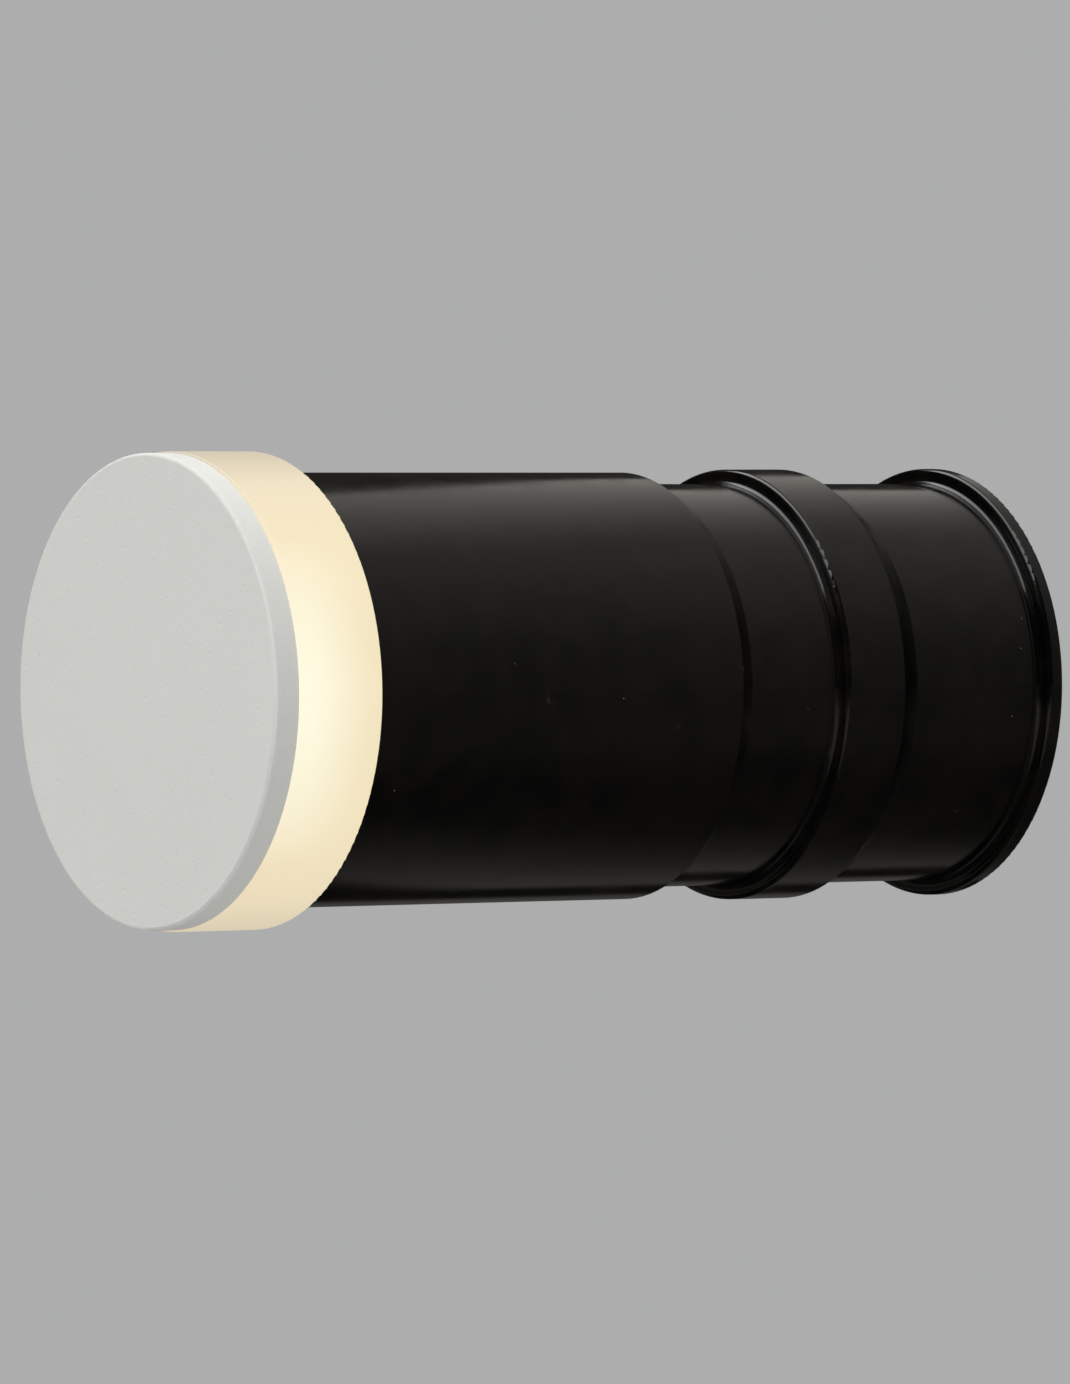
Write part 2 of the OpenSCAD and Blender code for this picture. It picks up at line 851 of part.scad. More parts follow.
// Fins as seen along the axis: groups between the springs' pads
module fin_star() {
    for (side = [0 : spring_count - 1])
        for (k = [0 : fins_per_side - 1])
            rotate(spring_phase + (side + 0.5) * 360 / spring_count
                   + (k - (fins_per_side - 1) / 2) * fin_pitch)
                translate([sink_r - cut, -fin_t / 2])
                    square([fin_h + 2 * cut, fin_t]);
}

module heat_sink() {
    color("#c9cbcc")
        difference() {
            union() {
                turned()
                    union() {
                        band(0, base_flange_r, base_front, flange_back);
                        band(0, pilot_r, flange_back - cut, base_back);
                        band(0, sink_r, base_back - cut, sink_end);
                    }
                intersection() {
                    translate([0, base_back - cut, 0])
                        rotate([-90, 0, 0])
                            linear_extrude(fin_l + cut)
                                fin_star();
                    turned()
                        polygon([
                            [sink_r - sink_wall / 2, base_back - 2 * cut],
                            [fin_tip_r, base_back - 2 * cut],
                            [fin_tip_r, sink_end - fin_slope],
                            [sink_r - sink_wall / 2, sink_end + sink_wall / 2]
                        ]);
                }
                around(spring_count, spring_phase)
                    block([sink_r - sink_wall / 2, base_back - cut, -spring_w / 2 - pad_edge],
                          [pad_r, sink_end, spring_w / 2 + pad_edge]);
            }
            difference() {
                rod(sink_bore, base_back, sink_end + cut);
                around(post_count, 180 / post_count)
                    translate([lug_ring_r, 0, 0])
                        rod(lug_r, sink_end - lug_l, sink_end + 2 * cut);
            }
            rod(lead_hole_r, base_front - cut, base_back + cut);
            around(post_count)
                translate([post_ring_r, 0, 0]) {
                    rod(screw_r + part_gap, base_front - cut, base_back + cut);
                    rod(screw_head_r + part_gap, head_seat, base_back + cut);
                }
            around(post_count, 180 / post_count) {
                translate([post_ring_r, 0, 0])
                    rod(screw_r + thread_gap, base_front - cut, board_screw_tip + tip_space);
                translate([lug_ring_r, 0, 0])
                    rod(screw_r + thread_gap, sink_end - lug_l - cut, sink_end + cut);
            }
            around(spring_count, spring_phase)
                translate([pad_r - spring_screw_l, spring_screw_y, 0])
                    rotate([0, 90, 0])
                        cylinder(r = small_r + thread_gap, h = spring_screw_l + cut);
        }
}

module sleeve_gasket() {
    color("#3b3b3b")
        ring(pilot_r + part_gap, base_flange_r, flange_back, 0);
}

// Places of the two LED leads and of the two supply leads
module led_lead_places() {
    for (side = [-1, 1])
        translate([side * led_lead_pitch / 2, 0, lead_z])
            children();
}

module supply_lead_places() {
    for (side = [-1, 1])
        translate([side * supply_pitch / 2, 0, lead_z])
            children();
}

module lead_grommet() {
    color("#4a4a4a")
        difference() {
            union() {
                rod(lead_hole_r, base_front, base_back);
                rod(lead_hole_r + grommet_wall, base_back, base_back + grommet_wall);
            }
            led_lead_places()
                rod(lead_r + part_gap / 2, base_front - cut, base_back + grommet_wall + cut);
        }
}

module led_leads() {
    color("#c0392b")
        led_lead_places()
            rod(lead_r, board_front, led_lead_end);
}

spring_screw_l = 5;

// Centre line of the bow, s from 0 at the foot to 1 at the free end, as [radius, y]
function bow_point(s) = [
    foot_r + (crest_r - foot_r) * (1 - cos(360 * s)) / 2,
    foot_start - spring_bow_l * s
];
function bow_slope(s) = PI * (crest_r - foot_r) * sin(360 * s) / -spring_bow_l;
function bow_edge(s, side) =
    bow_point(s)
    + side * spring_t / 2 * [1, -bow_slope(s)] / sqrt(1 + pow(bow_slope(s), 2));

module leaf_spring() {
    difference() {
        linear_extrude(spring_w, center = true)
            polygon(concat(
                [[foot_r + spring_t / 2, foot_end]],
                [for (i = [0 : bow_steps]) bow_edge(i / bow_steps, 1)],
                [for (i = [bow_steps : -1 : 0]) bow_edge(i / bow_steps, -1)],
                [[foot_r - spring_t / 2, foot_end]]
            ));
        translate([pad_r - cut, spring_screw_y, 0])
            rotate([0, 90, 0])
                cylinder(r = small_r + part_gap, h = spring_t + 2 * cut);
    }
}

module leaf_springs() {
    color("#d5d7d9")
        around(spring_count, spring_phase)
            leaf_spring();
}

module spring_screws() {
    color("#b9b9b7")
        around(spring_count, spring_phase)
            translate([0, spring_screw_y, 0])
                rotate([0, 90, 0])
                    screw_z(small_r, small_head_r, small_head_h,
                            pad_r + spring_t, pad_r - spring_screw_l + tip_space);
}

module driver_housing() {
    color("#ecebe6")
        difference() {
            union() {
                turned()
                    difference() {
                        union() {
                            band(0, housing_r, sink_end, housing_floor);
                            band(housing_bore, housing_r, sink_end, housing_end);
                        }
                        rounding([housing_r, sink_end], driver_edge_r, [1, -1]);
                    }
                intersection() {
                    union() {
                        around(post_count, cover_phase)
                            translate([cover_ring_r, 0, 0])
                                rod(cover_post_r, housing_floor - cut, plug_front);
                        for (side = [-1, 1])
                            for (z = [board_top + part_gap, board_bottom - part_gap - rail_t])
                                block([min(side * (board_half_w - rail_w), side * housing_r),
                                       housing_floor - cut, z],
                                      [max(side * (board_half_w - rail_w), side * housing_r),
                                       board_end, z + rail_t]);
                    }
                    rod(housing_bore + housing_wall / 2, sink_end, housing_end);
                }
            }
            rod(lead_hole_r, sink_end - cut, housing_floor + cut);
            around(post_count, 180 / post_count)
                translate([lug_ring_r, 0, 0])
                    rod(screw_r + part_gap, sink_end - cut, housing_floor + cut);
            around(post_count, cover_phase)
                translate([cover_ring_r, 0, 0])
                    rod(small_r + thread_gap, cover_screw_tip - tip_space, plug_front + cut);
        }
}

module housing_screws() {
    color("#b9b9b7")
        around(post_count, 180 / post_count)
            translate([lug_ring_r, 0, 0])
                screw_y(screw_r, screw_head_r, screw_head_h,
                        housing_floor, sink_end - lug_l + 3 * tip_space, 1);
}

module driver_board() {
    color("#2f6b45")
        block([-board_half_w, board_start, board_bottom],
              [board_half_w, board_end, board_top]);
}

// Transformer: a ferrite frame with a middle leg, and the coil round that leg
core_w = 18;
core_l = 15;
core_h = 13;
core_leg = 4;
core_space = 2;
core_y = led_lead_end + core_space;
coil_inset = 1;
core_window_z = 3;
core_window_w = core_w / 2 - core_leg;

// The two windows of the frame, one on each side of its middle leg, from y0 to y1
module core_windows(y0, y1) {
    for (side = [-1, 1])
        translate([side * core_w / 4, 0, 0])
            block([-core_window_w / 2, y0, board_top + core_window_z],
                  [core_window_w / 2, y1, board_top + core_h - core_window_z]);
}

module transformer_core() {
    color("#3a3a3c")
        difference() {
            block([-core_w / 2, core_y, board_top],
                  [core_w / 2, core_y + core_l, board_top + core_h]);
            core_windows(core_y - cut, core_y + core_l + cut);
        }
}

module transformer_coil() {
    color("#d9b23a")
        core_windows(core_y + coil_inset, core_y + core_l - coil_inset);
}

// Parts beside the transformer, with their side, distance behind the board's front edge and size
part_space = 0.6;
capacitor_list = [[-1, 6, 5, 10.5], [-1, 16, 4, 10], [1, 5.5, 4, 12]];
chip_list = [[1, 11, 7, 5, 4], [1, 18, 8, 4.4, 9]];

module capacitors() {
    color("#23262b")
        for (c = capacitor_list)
            translate([c[0] * (core_w / 2 + c[2] + part_space), board_start + c[1], board_top])
                cylinder(r = c[2], h = c[3]);
}

module power_chips() {
    color("#1d1d1f")
        for (c = chip_list)
            translate([core_w / 2 + part_space, board_start + c[1], board_top])
                cube([c[2], c[3], c[4]]);
}

cover_screw_bite = 7;
cover_screw_tip = plug_front - cover_screw_bite;
web_t = 2;
web_h = 4;

module driver_cover() {
    color("#ecebe6")
        difference() {
            union() {
                turned()
                    difference() {
                        union() {
                            band(0, housing_bore - part_gap, plug_front, housing_end);
                            band(0, housing_r, housing_end, cover_back);
                        }
                        band(housing_bore - part_gap - seal_depth, housing_bore,
                             cover_seal_y - seal_w / 2, cover_seal_y + seal_w / 2);
                        rounding([housing_r, cover_back], driver_edge_r, [1, 1]);
                    }
                block([-shelf_w / 2, cover_back - cut, shelf_bottom],
                      [shelf_w / 2, shelf_end, shelf_top]);
                for (side = [-1, 1])
                    translate([side * (shelf_w / 2 - web_t), 0, 0])
                        rotate([90, 0, 90])
                            linear_extrude(web_t, center = true)
                                polygon([
                                    [cover_back - cut, shelf_bottom + shelf_t / 2],
                                    [shelf_end - web_t, shelf_bottom + shelf_t / 2],
                                    [shelf_end - web_t, shelf_bottom],
                                    [cover_back, shelf_bottom - web_h],
                                    [cover_back - cut, shelf_bottom - web_h]
                                ]);
                for (side = [-1, 1])
                    translate([side * clamp_post_x, clamp_start + clamp_w / 2, shelf_bottom])
                        cylinder(r = clamp_post_r, h = clamp_post_top - shelf_bottom);
            }
            around(post_count, cover_phase)
                translate([cover_ring_r, 0, 0])
                    rod(small_r + part_gap, plug_front - cut, cover_back + cut);
            supply_lead_places()
                rod(lead_r + part_gap, plug_front - cut, cover_back + cut);
            for (side = [-1, 1])
                translate([side * clamp_post_x, clamp_start + clamp_w / 2, shelf_bottom - cut])
                    cylinder(r = small_r + thread_gap, h = clamp_post_top - shelf_bottom + 2 * cut);
        }
}

module cover_seal() {
    color("#2a2a2a")
        seal_ring(housing_bore - part_gap - seal_depth, housing_bore, cover_seal_y);
}

module cover_screws() {
    color("#b9b9b7")
        around(post_count, cover_phase)
            translate([cover_ring_r, 0, 0])
                screw_y(small_r, small_head_r, small_head_h, cover_back, cover_screw_tip, 1);
}

module supply_leads() {
    color("#2e5fa8")
        supply_lead_places()
            rod(lead_r, supply_lead_start, block_start + lead_bite);
}

module terminal_block() {
    color("#e9e6dc")
        difference() {
            union() {
                block([-block_w / 2, block_start, shelf_top],
                      [block_w / 2, block_end, block_top - hood_h]);
                for (side = [-1, 1])
                    block([side * supply_pitch / 2 - tube_r - hood_wall, block_start, shelf_top],
                          [side * supply_pitch / 2 + tube_r + hood_wall, block_end, block_top]);
            }
            supply_lead_places()
                rod(tube_r + part_gap, block_start - cut, block_end + cut);
            terminal_screw_places()
                cylinder(r = small_head_r + part_gap, h = block_h);
        }
}

module terminal_screw_places() {
    for (side = [-1, 1])
        for (y = [block_start + terminal_screw_inset, block_end - terminal_screw_inset])
            translate([side * supply_pitch / 2, y, lead_z])
                children();
}

module terminal_tubes() {
    color("#c9a13b")
        difference() {
            supply_lead_places()
                rod(tube_r, block_start + tube_end_gap, block_end - tube_end_gap);
            supply_lead_places()
                rod(tube_r - tube_wall, block_start, block_end);
            terminal_screw_places()
                cylinder(r = small_r + thread_gap, h = block_h);
        }
}

module terminal_screws() {
    color("#b9b9b7")
        terminal_screw_places()
            screw_z(small_r, small_head_r, block_top - terminal_screw_sink - terminal_screw_seat,
                    terminal_screw_seat - lead_z, lead_r + part_gap, arms = 1);
}

module cable_clamp() {
    color("#ecebe6")
        difference() {
            block([-clamp_post_x - clamp_end_margin, clamp_start, clamp_post_top],
                  [clamp_post_x + clamp_end_margin, clamp_start + clamp_w,
                   clamp_post_top + clamp_t]);
            for (side = [-1, 1])
                translate([side * clamp_post_x, clamp_start + clamp_w / 2, clamp_post_top - cut])
                    cylinder(r = small_r + part_gap, h = clamp_t + 2 * cut);
        }
}

module clamp_screws() {
    color("#b9b9b7")
        for (side = [-1, 1])
            translate([side * clamp_post_x, clamp_start + clamp_w / 2, 0])
                screw_z(small_r, small_head_r, small_head_h,
                        clamp_post_top + clamp_t, shelf_bottom + tip_space);
}

front_sleeve();
joint_seal();
rear_sleeve();
end_cap();
end_seal();
gland_washer();
gland_body();
gland_seal();
gland_nut();
gland_locknut();
front_cap();
cap_gasket();
diffuser();
diffuser_gasket();
reflector();
led_board();
led_chips();
board_screws();
cap_screws();
heat_sink();
sleeve_gasket();
lead_grommet();
led_leads();
leaf_springs();
spring_screws();
driver_housing();
housing_screws();
driver_board();
transformer_core();
transformer_coil();
capacitors();
power_chips();
driver_cover();
cover_seal();
cover_screws();
supply_leads();
terminal_block();
terminal_tubes();
terminal_screws();
cable_clamp();
clamp_screws();
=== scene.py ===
import math

import bpy
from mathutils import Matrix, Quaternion, Vector


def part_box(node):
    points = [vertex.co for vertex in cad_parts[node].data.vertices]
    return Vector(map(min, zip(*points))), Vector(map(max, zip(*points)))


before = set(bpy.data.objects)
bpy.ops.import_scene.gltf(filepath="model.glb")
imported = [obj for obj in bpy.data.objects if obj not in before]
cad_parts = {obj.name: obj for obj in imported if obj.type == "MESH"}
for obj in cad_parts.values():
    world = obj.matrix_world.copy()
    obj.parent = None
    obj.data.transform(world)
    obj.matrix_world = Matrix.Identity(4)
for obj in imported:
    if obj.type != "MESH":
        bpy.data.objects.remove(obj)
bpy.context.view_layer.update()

# The view. The camera stands to the right of the head and a little above the lamp's axis, 1.65 m
# away, and looks level along the lamp: the head's front face lies left of the picture's middle.
VIEW_AZIMUTH = math.radians(55.53)
VIEW_ELEVATION = math.radians(1.11)
VIEW_DISTANCE = 1.6451
HEAD_LEFT_OF_MIDDLE = 0.05707
PICTURE_HEIGHT_PX = 1384
FOCAL_LENGTH_PX = 11235
SENSOR_HEIGHT = 0.036
NEAREST_SEEN = 0.01
MM_PER_METRE = 1000

head_front = Vector((0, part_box("front_cap")[0][1], 0))
towards_camera = Vector((math.sin(VIEW_AZIMUTH) * math.cos(VIEW_ELEVATION),
                         -math.cos(VIEW_AZIMUTH) * math.cos(VIEW_ELEVATION),
                         math.sin(VIEW_ELEVATION)))
picture_right = Vector((math.cos(VIEW_AZIMUTH), math.sin(VIEW_AZIMUTH), 0))
camera_data = bpy.data.cameras.new("view")
camera_data.sensor_width = MM_PER_METRE * SENSOR_HEIGHT
camera_data.lens = MM_PER_METRE * SENSOR_HEIGHT * FOCAL_LENGTH_PX / PICTURE_HEIGHT_PX
camera_data.clip_start = NEAREST_SEEN
camera = bpy.data.objects.new("view", camera_data)
bpy.context.collection.objects.link(camera)
camera.location = (head_front + HEAD_LEFT_OF_MIDDLE * picture_right
                   + VIEW_DISTANCE * towards_camera)
camera.rotation_euler = towards_camera.to_track_quat("Z", "Y").to_euler()
bpy.context.scene.camera = camera


# The recess sleeves. Two glossy black mouldings: the barrel with its neck and stop flange, and the
# collar with the rear tube and its flange, pushed over the neck. Fine dust lies on both.
SLEEVE_BLACK = (0.0010, 0.0009, 0.0008)
SLEEVE_LIGHTER = (0.0036, 0.0031, 0.0027)
SLEEVE_CLOUD = 0.020
SLEEVE_MOTTLE = 0.005
MOTTLE_SPAN = (0.36, 0.64)
SLEEVE_ORANGE_PEEL = 0.0035
SLEEVE_HAZE = 0.0005
SLEEVE_WAVINESS = 0.000006
DUST_COLOUR = (0.16, 0.155, 0.145)
DUST_SPACING = 0.0045
DUST_SPECK = 0.022
PLASTIC_IOR = 1.5


class Wire:
    """A value or colour of a finish; arithmetic on it adds Math nodes."""

    def __init__(self, finish, output):
        self.finish = finish
        self.output = output

    def maths(self, operation, first, second):
        return self.finish.node("ShaderNodeMath", {"operation": operation},
                                {0: first, 1: second})

    def __add__(self, other):
        return self.maths("ADD", self, other)

    def __sub__(self, other):
        return self.maths("SUBTRACT", self, other)

    def __rsub__(self, other):
        return self.maths("SUBTRACT", other, self)

    def __mul__(self, other):
        return self.maths("MULTIPLY", self, other)

    def __pow__(self, other):
        return self.maths("POWER", self, other)

    def __lt__(self, other):
        return self.maths("LESS_THAN", self, other)

    __radd__ = __add__
    __rmul__ = __mul__

    def at_least(self, least):
        return self.maths("MAXIMUM", self, least)


class Finish:
    """A material made of nodes that read the piece's own coordinates, in metres."""

    def __init__(self, name, library=bpy.data.materials, coordinates="Object"):
        self.material = library.new(name)
        self.material.use_nodes = True
        self.material.node_tree.nodes.clear()
        self.place = self.node("ShaderNodeTexCoord", output=coordinates)

    def node(self, kind, settings=None, sockets=None, output=0):
        made = self.material.node_tree.nodes.new(kind)
        for setting, value in (settings or {}).items():
            setattr(made, setting, value)
        for socket, value in (sockets or {}).items():
            if isinstance(value, Wire):
                self.material.node_tree.links.new(value.output, made.inputs[socket])
            else:
                made.inputs[socket].default_value = value
        return Wire(self, made.outputs[output]) if made.outputs else None

    def axis(self, letter):
        """One coordinate of the piece's surface, in metres."""
        return self.node("ShaderNodeSeparateXYZ", {}, {0: self.place}, letter)

    def rise(self, value, low, high):
        """0 where value is below low, 1 where it is above high, with a smooth change between."""
        return self.node("ShaderNodeMapRange", {"interpolation_type": "SMOOTHSTEP"},
                         {"Value": value, "From Min": low, "From Max": high})

    def fall(self, value, low, high):
        """1 where value is below low, 0 where it is above high, with a smooth change between."""
        return 1 - self.rise(value, low, high)

    def grain(self, size, detail=2.0, stretch=(1, 1, 1)):
        """Smooth noise from 0 to 1 whose lumps are about size metres across."""
        stretched = self.node("ShaderNodeMapping", {}, {"Vector": self.place, "Scale": stretch})
        return self.node("ShaderNodeTexNoise", {}, {"Vector": stretched, "Scale": 1 / size,
                                                    "Detail": detail})

    def cells(self, size):
        """Distance to the middle of the nearest cell, in cells of about size metres."""
        return self.node("ShaderNodeTexVoronoi", {}, {"Vector": self.place, "Scale": 1 / size},
                         "Distance")

    def blend(self, mask, low, high):
        """The colour low where mask is 0 and high where it is 1."""
        return self.node("ShaderNodeMix", {"data_type": "RGBA"},
                         {0: mask, 6: (*low, 1) if isinstance(low, tuple) else low,
                          7: (*high, 1) if isinstance(high, tuple) else high}, 2)

    def relief(self, height, depth):
        """Bumps of depth metres where height is 1."""
        return self.node("ShaderNodeBump", {}, {"Height": height, "Distance": depth})

    def surface(self, sockets):
        shader = self.node("ShaderNodeBsdfPrincipled", {}, sockets)
        self.node("ShaderNodeOutputMaterial", {}, {"Surface": shader})
        return self.material


def dress(material, *nodes):
    """Gives every slot of those CAD nodes the material."""
    for name in nodes:
        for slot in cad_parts[name].material_slots:
            slot.material = material


def black_moulding():
    finish = Finish("black_moulding")
    cloud = finish.grain(SLEEVE_CLOUD)
    orange_peel = finish.grain(SLEEVE_ORANGE_PEEL)
    dust = finish.cells(DUST_SPACING) < DUST_SPECK
    mottle = finish.rise(0.5 * cloud + 0.5 * finish.grain(SLEEVE_MOTTLE, detail=3.0), *MOTTLE_SPAN)
    return finish.surface({
        "Base Color": finish.blend(dust, finish.blend(mottle, SLEEVE_BLACK, SLEEVE_LIGHTER),
                                   DUST_COLOUR),
        "Roughness": 0.13 + 0.05 * mottle + 0.3 * dust,
        "IOR": PLASTIC_IOR,
        "Normal": finish.relief(orange_peel + 0.15 * finish.grain(SLEEVE_HAZE),
                                SLEEVE_WAVINESS),
    })


dress(black_moulding(), "front_sleeve", "rear_sleeve")


# The end cap. It closes the rear tube and holds the cable gland: a moulding of the same black
# plastic with a drier, finely spark-eroded face.
END_CAP_BLACK = (0.0095, 0.0090, 0.0084)
MOULDED_CLOUD = 0.012
MOULDED_LIGHTER = 1.18


def textured_moulding(name, colour, roughness, grain_size, grain_depth):
    """A moulded plastic whose mould was given a fine grain."""
    finish = Finish(name)
    cloud = finish.grain(MOULDED_CLOUD)
    grain = finish.grain(grain_size, detail=3.0)
    lighter = tuple(MOULDED_LIGHTER * part for part in colour)
    return finish.surface({
        "Base Color": finish.blend(0.6 * cloud + 0.4 * grain, colour, lighter),
        "Roughness": roughness - 0.08 + 0.16 * cloud,
        "IOR": PLASTIC_IOR,
        "Normal": finish.relief(grain, grain_depth),
    })


dress(textured_moulding("end_cap_moulding", END_CAP_BLACK, roughness=0.42,
                        grain_size=0.0006, grain_depth=0.00002), "end_cap")


# The cable gland. Body, dome nut and locknut are glass-filled nylon, a little greyer than the
# sleeves, with the faint mottle that the glass leaves on the surface.
NYLON_BLACK = (0.0170, 0.0170, 0.0175)

dress(textured_moulding("gland_nylon", NYLON_BLACK, roughness=0.36,
                        grain_size=0.0009, grain_depth=0.000018),
      "gland_body", "gland_nut", "gland_locknut")


# The seals. Rubber rings in the sleeve joint, the end cap and the driver's cover, the gland's
# washer and bush and the lead grommet: dull, slightly bloomed black rubber.
RUBBER_BLACK = (0.011, 0.011, 0.0115)
RUBBER_BLOOM = (0.019, 0.019, 0.0195)
RUBBER_CLOUD = 0.004
RUBBER_GRAIN = 0.0004
RUBBER_IOR = 1.52


def rubber(name, colour, bloom):
    finish = Finish(name)
    cloud = finish.grain(RUBBER_CLOUD, detail=4.0)
    return finish.surface({
        "Base Color": finish.blend(cloud, colour, bloom),
        "Roughness": 0.62 + 0.2 * cloud,
        "IOR": RUBBER_IOR,
        "Normal": finish.relief(finish.grain(RUBBER_GRAIN), depth=0.00001),
    })


dress(rubber("seal_rubber", RUBBER_BLACK, RUBBER_BLOOM),
      "joint_seal", "end_seal", "gland_washer", "gland_seal", "cover_seal", "lead_grommet")


# The cap. A cast disc with a fine matt white powder coat, whose grain shows as a faint sandy
# texture with a few tiny pits on the face and on the side.
COAT_WHITE = (0.655, 0.652, 0.622)
COAT_LIGHTER = (0.755, 0.752, 0.722)
COAT_SAND = 0.00042
COAT_ORANGE_PEEL = 0.0022
COAT_CLOUD = 0.025
PIT_SPACING = 0.0030
PIT_EDGE = (0.02, 0.16)
COAT_DEPTH = 0.000032


def powder_coat():
    finish = Finish("white_powder_coat")
    sand = finish.grain(COAT_SAND, detail=3.0)
    orange_peel = finish.grain(COAT_ORANGE_PEEL)
    around_pits = finish.rise(finish.cells(PIT_SPACING), *PIT_EDGE)
    cloud = finish.grain(COAT_CLOUD)
    return finish.surface({
        "Base Color": finish.blend(0.75 * sand + 0.25 * cloud, COAT_WHITE, COAT_LIGHTER),
        "Roughness": 0.56 + 0.12 * sand,
        "IOR": PLASTIC_IOR,
        "Normal": finish.relief(sand + 0.8 * orange_peel + 1.3 * around_pits, COAT_DEPTH),
    })


dress(powder_coat(), "front_cap")


# The diffuser. A thick opal ring, lit warm white from inside. The light is strongest in its front
# half, and a faint swell of light marks each LED round the ring. Its glow is also painted brighter
# at the height of the axis and darker towards the top and bottom: a painted highlight where the
# ring faces the view and painted shade where it turns away.
OPAL_UNLIT = (0.10, 0.093, 0.073, 1)
OPAL_IOR = 1.49
GLOW_TONE = (0.829, 0.714, 0.479)
GLOW_PAINTED_SHADE_TONE = (0.563, 0.491, 0.380)
# Painted highlight and painted shade: the glow's colour at the axis height and towards the top and
# bottom.
GLOW_PAINTED_HIGHLIGHT_TONE = (0.928, 0.891, 0.694)
GLOW_MIDDLE_Z = -0.0011
GLOW_PAINTED_HIGHLIGHT_HEIGHT = 0.0242
GLOW_PAINTED_SHADE_HEIGHT = 0.0365
GLOW_FADE_Y = (-0.0133, 0.0001)
LED_COUNT = 12
LED_SWELL = 0.02


def opal():
    finish = Finish("lit_opal")
    across, along, upward = finish.axis("X"), finish.axis("Y"), finish.axis("Z")
    angle = upward.maths("ARCTAN2", upward, across)
    swell = finish.node("ShaderNodeMath", {"operation": "COSINE"}, {0: angle * LED_COUNT})
    height = upward - GLOW_MIDDLE_Z
    squared = height * height
    # Painted highlight: core makes the glow brighter at the axis height. Painted shade: edge
    # darkens it towards the ring's top and bottom.
    core = (1 - (1 / GLOW_PAINTED_HIGHLIGHT_HEIGHT ** 2) * squared).at_least(0.0) \
        * finish.fall(along, *GLOW_FADE_Y) + LED_SWELL * swell
    edge = ((1 / GLOW_PAINTED_SHADE_HEIGHT ** 2) * squared) ** 3
    return finish.surface({
        "Base Color": OPAL_UNLIT,
        "Roughness": 0.28 + 0.08 * finish.grain(size=0.004),
        "IOR": OPAL_IOR,
        "Normal": finish.relief(finish.grain(size=0.0030), depth=0.000008),
        "Emission Color": finish.blend(core, finish.blend(edge, GLOW_TONE, GLOW_PAINTED_SHADE_TONE),
                                       GLOW_PAINTED_HIGHLIGHT_TONE),
        "Emission Strength": 1.0,
    })


dress(opal(), "diffuser")


# The soft gaskets. Translucent silicone rings seal the diffuser at both ends, and a dark
# closed-cell foam ring lies between the head and the sleeve's rim.
SILICONE = (0.52, 0.52, 0.49)
SILICONE_BLOOM = (0.62, 0.62, 0.59)
FOAM_PORE = (0.012, 0.012, 0.013)
FOAM_WALL = (0.035, 0.035, 0.036)
FOAM_CELL = 0.0005


def foam():
    finish = Finish("closed_cell_foam")
    walls = finish.cells(FOAM_CELL)
    return finish.surface({
        "Base Color": finish.blend(walls, FOAM_PORE, FOAM_WALL),
        "Roughness": 0.85 + 0.1 * walls,
        "Normal": finish.relief(1 - walls, depth=0.00012),
    })


dress(rubber("silicone", SILICONE, SILICONE_BLOOM), "cap_gasket", "diffuser_gasket")
dress(foam(), "sleeve_gasket")


# The white mouldings inside: the reflector, the driver's housing and cover and the cable clamp,
# in a plain white polycarbonate with a fine moulded grain, and the creamier terminal block.
POLYCARBONATE_WHITE = (0.60, 0.595, 0.565)
POLYAMIDE_CREAM = (0.60, 0.575, 0.49)

dress(textured_moulding("white_polycarbonate", POLYCARBONATE_WHITE, roughness=0.44,
                        grain_size=0.0007, grain_depth=0.000022),
      "reflector", "driver_housing", "driver_cover", "cable_clamp")
dress(textured_moulding("terminal_polyamide", POLYAMIDE_CREAM, roughness=0.38,
                        grain_size=0.0011, grain_depth=0.00002), "terminal_block")


# The boards. White solder mask on the LED board, green on the driver's, with the tracks showing
# as faint ridges under the lacquer, and the LEDs' yellow phosphor.
MASK_WHITE = (0.70, 0.70, 0.67)
MASK_WHITE_ON_TRACK = (0.78, 0.78, 0.75)
MASK_GREEN = (0.010, 0.080, 0.028)
MASK_GREEN_ON_TRACK = (0.018, 0.125, 0.045)
TRACK_SPACING = 0.0032
TRACK_REACH = 0.42
TRACK_HEIGHT = 0.000035
PHOSPHOR_YELLOW = (0.74, 0.47, 0.055)
PHOSPHOR_LIGHTER = (0.88, 0.63, 0.13)
PHOSPHOR_GRAIN = 0.0002
PHOSPHOR_GLOW = (0.9, 0.68, 0.32)
PHOSPHOR_GLOW_LIGHTER = (1.0, 0.8, 0.45)


def board(name, mask_colour, track_colour):
    finish = Finish(name)
    tracks = finish.cells(TRACK_SPACING) < TRACK_REACH
    return finish.surface({
        "Base Color": finish.blend(tracks, mask_colour, track_colour),
        "Roughness": 0.34 + 0.1 * finish.grain(size=0.003),
        "Normal": finish.relief(tracks, TRACK_HEIGHT),
    })


def phosphor():
    finish = Finish("led_phosphor")
    grain = finish.grain(PHOSPHOR_GRAIN, detail=3.0)
    return finish.surface({
        "Base Color": finish.blend(grain, PHOSPHOR_YELLOW, PHOSPHOR_LIGHTER),
        "Roughness": 0.45 + 0.2 * grain,
        "Normal": finish.relief(grain, depth=0.00001),
        "Emission Color": finish.blend(grain, PHOSPHOR_GLOW, PHOSPHOR_GLOW_LIGHTER),
        "Emission Strength": 1.5,
    })


dress(board("white_solder_mask", MASK_WHITE, MASK_WHITE_ON_TRACK), "led_board")
dress(board("green_solder_mask", MASK_GREEN, MASK_GREEN_ON_TRACK), "driver_board")
dress(phosphor(), "led_chips")


# The heat sink. One aluminium casting, left as it comes from the mould: a fine sandy skin and
# slow patches of duller and brighter metal.
ALUMINIUM_DULL = (0.62, 0.63, 0.64)
ALUMINIUM_BRIGHT = (0.76, 0.765, 0.77)
CASTING_SAND = 0.0004
CASTING_PATCHES = 0.007


